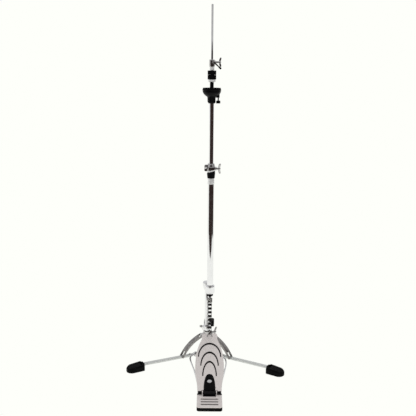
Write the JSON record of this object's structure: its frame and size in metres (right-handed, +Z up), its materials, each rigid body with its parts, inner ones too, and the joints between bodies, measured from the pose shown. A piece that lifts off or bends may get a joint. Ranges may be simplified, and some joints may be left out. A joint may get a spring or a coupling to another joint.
{
  "type": "hi-hat stand",
  "caption": "Free-standing hi-hat stand with a flat tripod base, chain-drive foot pedal, telescoping tube, tilting cymbal seat and a felt-lined clutch on its pull rod.",
  "frame": {"origin": "on the floor at the middle of the stand's footprint, between the heel plate's front edge and the rear foot's tip and between the front feet's tips", "axes": "+Z up along the tubes, the pedal runs towards -Y, +X is to the right of a player facing +Y"},
  "size_m": [0.4808, 0.6258, 1.081],
  "materials": {
    "chrome": "polished",
    "steel": "zinc plated",
    "spring_steel": "oiled",
    "cast_black": "satin black",
    "aluminium": "satin",
    "badge_metal": "bright",
    "black_plastic": "moulded",
    "rubber": "matt",
    "felt": "pressed felt",
    "nylon": "natural",
    "brass": "machined"
  },
  "bodies": {
    "base": {"base_hub": "chrome", "base_post": "chrome", "leg_hinge_pins": "steel", "frame_head": "chrome", "head_bushing": "nylon", "frame_set_screw": "steel", "lower_tube": "chrome", "receiver": "cast_black", "receiver_bush": "nylon", "heel_plate": "aluminium", "heel_pad": "rubber", "heel_block": "black_plastic", "radius_rods": "chrome", "hinge_pin": "steel"},
    "leg_left": {"leg_left": "chrome", "foot_left": "rubber"},
    "leg_right": {"leg_right": "chrome", "foot_right": "rubber"},
    "leg_rear": {"leg_rear": "chrome", "foot_rear": "rubber"},
    "brace_left": {"brace_left": "chrome"},
    "brace_right": {"brace_right": "chrome"},
    "brace_rear": {"brace_rear": "chrome"},
    "collar": {"brace_collar": "chrome", "brace_pins": "chrome"},
    "collar_wing": {"collar_wing_bolt": "chrome"},
    "ring": {"stop_ring": "chrome", "stop_ring_bolt": "steel"},
    "pedal": {"footboard": "aluminium", "footboard_grips": "rubber", "footboard_insert": "black_plastic", "footboard_badge": "badge_metal", "toe_bracket": "steel", "toe_rivets": "steel"},
    "pull": {"pull_rod": "chrome", "spring_collar": "steel", "pull_spring": "spring_steel", "rod_bumper": "rubber", "chain_clevis": "steel"},
    "chain": {"chain_inner_links": "steel", "chain_outer_links": "steel"},
    "lock": {"lock_collar": "chrome", "lock_shoe": "brass", "lock_key_bolt": "steel"},
    "lock_wing": {"lock_wing_bolt": "chrome"},
    "mast": {"upper_tube": "chrome", "seat_body": "cast_black", "seat_sleeve": "black_plastic"},
    "tilter": {"tilt_plate": "cast_black", "seat_felt": "felt"},
    "tilt_screw": {"tilt_screw": "black_plastic"},
    "clutch": {"clutch_body": "chrome", "clutch_spindle": "chrome", "clutch_neck_nut": "chrome", "clutch_felts": "felt", "clutch_nut": "chrome"},
    "clutch_wing": {"clutch_wing_screw": "chrome"},
    "lever": {"clutch_lever": "chrome", "lever_tip": "rubber"}
  },
  "joints": [
    {"name": "pedal_press", "type": "hinge", "parent": "base", "child": "pedal", "pos_m": [0.01356, -0.24164, 0.0176], "axis": [-1, 0, 0], "range_deg": [0, 11.2], "stiffness_Nm_per_rad": 14, "springref_deg": -20.05},
    {"name": "pull_slide", "type": "slide", "parent": "base", "child": "pull", "axis": [0, 0, -1], "range_m": [0, 0.04947], "deforming": ["pull_spring"]},
    {"name": "chain_swing", "type": "hinge", "parent": "pull", "child": "chain", "pos_m": [0.01356, 0.00508, 0.1952], "axis": [1, 0, 0], "range_deg": [0, 5.88]},
    {"name": "mast_height", "type": "slide", "parent": "base", "child": "mast", "axis": [0, 0, 1], "range_m": [-0.11, 0.04]},
    {"name": "lock_height", "type": "slide", "parent": "base", "child": "lock", "axis": [0, 0, 1], "range_m": [0, 0.06]},
    {"name": "lock_wing_turn", "type": "hinge", "parent": "lock", "child": "lock_wing", "pos_m": [0.03756, 0.00508, 0.6125], "axis": [1, 0, 0], "continuous": true},
    {"name": "seat_tilt", "type": "hinge", "parent": "mast", "child": "tilter", "pos_m": [-0.00944, 0.00508, 0.841], "axis": [0, -1, 0], "range_deg": [0, 6]},
    {"name": "tilt_screw_travel", "type": "slide", "parent": "mast", "child": "tilt_screw", "axis": [0, 0, 1], "range_m": [0, 0.0046]},
    {"name": "clutch_height", "type": "slide", "parent": "mast", "child": "clutch", "axis": [0, 0, 1], "range_m": [0, 0.1]},
    {"name": "clutch_wing_turn", "type": "hinge", "parent": "clutch", "child": "clutch_wing", "pos_m": [0.03356, 0.00508, 0.9215], "axis": [1, 0, 0], "continuous": true},
    {"name": "lever_lift", "type": "hinge", "parent": "clutch", "child": "lever", "pos_m": [0.01806, -0.01092, 0.922], "axis": [0, -1, 0], "range_deg": [0, 40]},
    {"name": "leg_fold", "type": "hinge", "parent": "base", "child": "leg_left", "pos_m": [-0.04616, 0.01099, 0.009], "axis": [-0.471, 0.8821, 0], "range_deg": [0, 84]},
    {"name": "leg_fold_right", "type": "hinge", "parent": "base", "child": "leg_right", "pos_m": [0.05337, 0.00769, 0.009], "axis": [-0.5284, -0.849, 0], "range_deg": [0, 84]},
    {"name": "leg_fold_rear", "type": "hinge", "parent": "base", "child": "leg_rear", "pos_m": [0.00647, 0.09554, 0.009], "axis": [0.9995, -0.0332, 0], "range_deg": [0, 84]},
    {"name": "collar_rise", "type": "slide", "parent": "base", "child": "collar", "axis": [0, 0, 1], "range_m": [0, 0.05212]},
    {"name": "brace_swing_left", "type": "hinge", "parent": "collar", "child": "brace_left", "pos_m": [-0.01167, 0.02941, 0.0694], "axis": [-0.471, 0.8821, 0], "range_deg": [-24.36, 0]},
    {"name": "brace_swing_right", "type": "hinge", "parent": "collar", "child": "brace_right", "pos_m": [0.02018, 0.02835, 0.0694], "axis": [-0.5284, -0.849, 0], "range_deg": [-24.36, 0]},
    {"name": "brace_swing_rear", "type": "hinge", "parent": "collar", "child": "brace_rear", "pos_m": [0.00517, 0.05647, 0.0694], "axis": [0.9995, -0.0332, 0], "range_deg": [-24.36, 0]},
    {"name": "ring_height", "type": "slide", "parent": "collar", "child": "ring", "axis": [0, 0, 1], "range_m": [0, 0.05]},
    {"name": "collar_wing_turn", "type": "hinge", "parent": "collar", "child": "collar_wing", "pos_m": [0.02833, 0.0458, 0.074], "axis": [0.9511, 0.309, 0], "continuous": true}
  ],
  "couplings": [
    {"joint": "pull_slide", "follows": "pedal_press", "m_per_rad": 0.25},
    {"joint": "chain_swing", "follows": "pedal_press", "ratio": 0.50752},
    {"joint": "tilt_screw_travel", "follows": "seat_tilt", "m_per_rad": 0.042},
    {"joint": "leg_fold_right", "follows": "leg_fold", "ratio": 1},
    {"joint": "leg_fold_rear", "follows": "leg_fold", "ratio": 1},
    {"joint": "collar_rise", "follows": "leg_fold", "m_per_rad": 0.03514},
    {"joint": "brace_swing_left", "follows": "leg_fold", "ratio": -0.28648},
    {"joint": "brace_swing_right", "follows": "leg_fold", "ratio": -0.28648},
    {"joint": "brace_swing_rear", "follows": "leg_fold", "ratio": -0.28648}
  ]
}
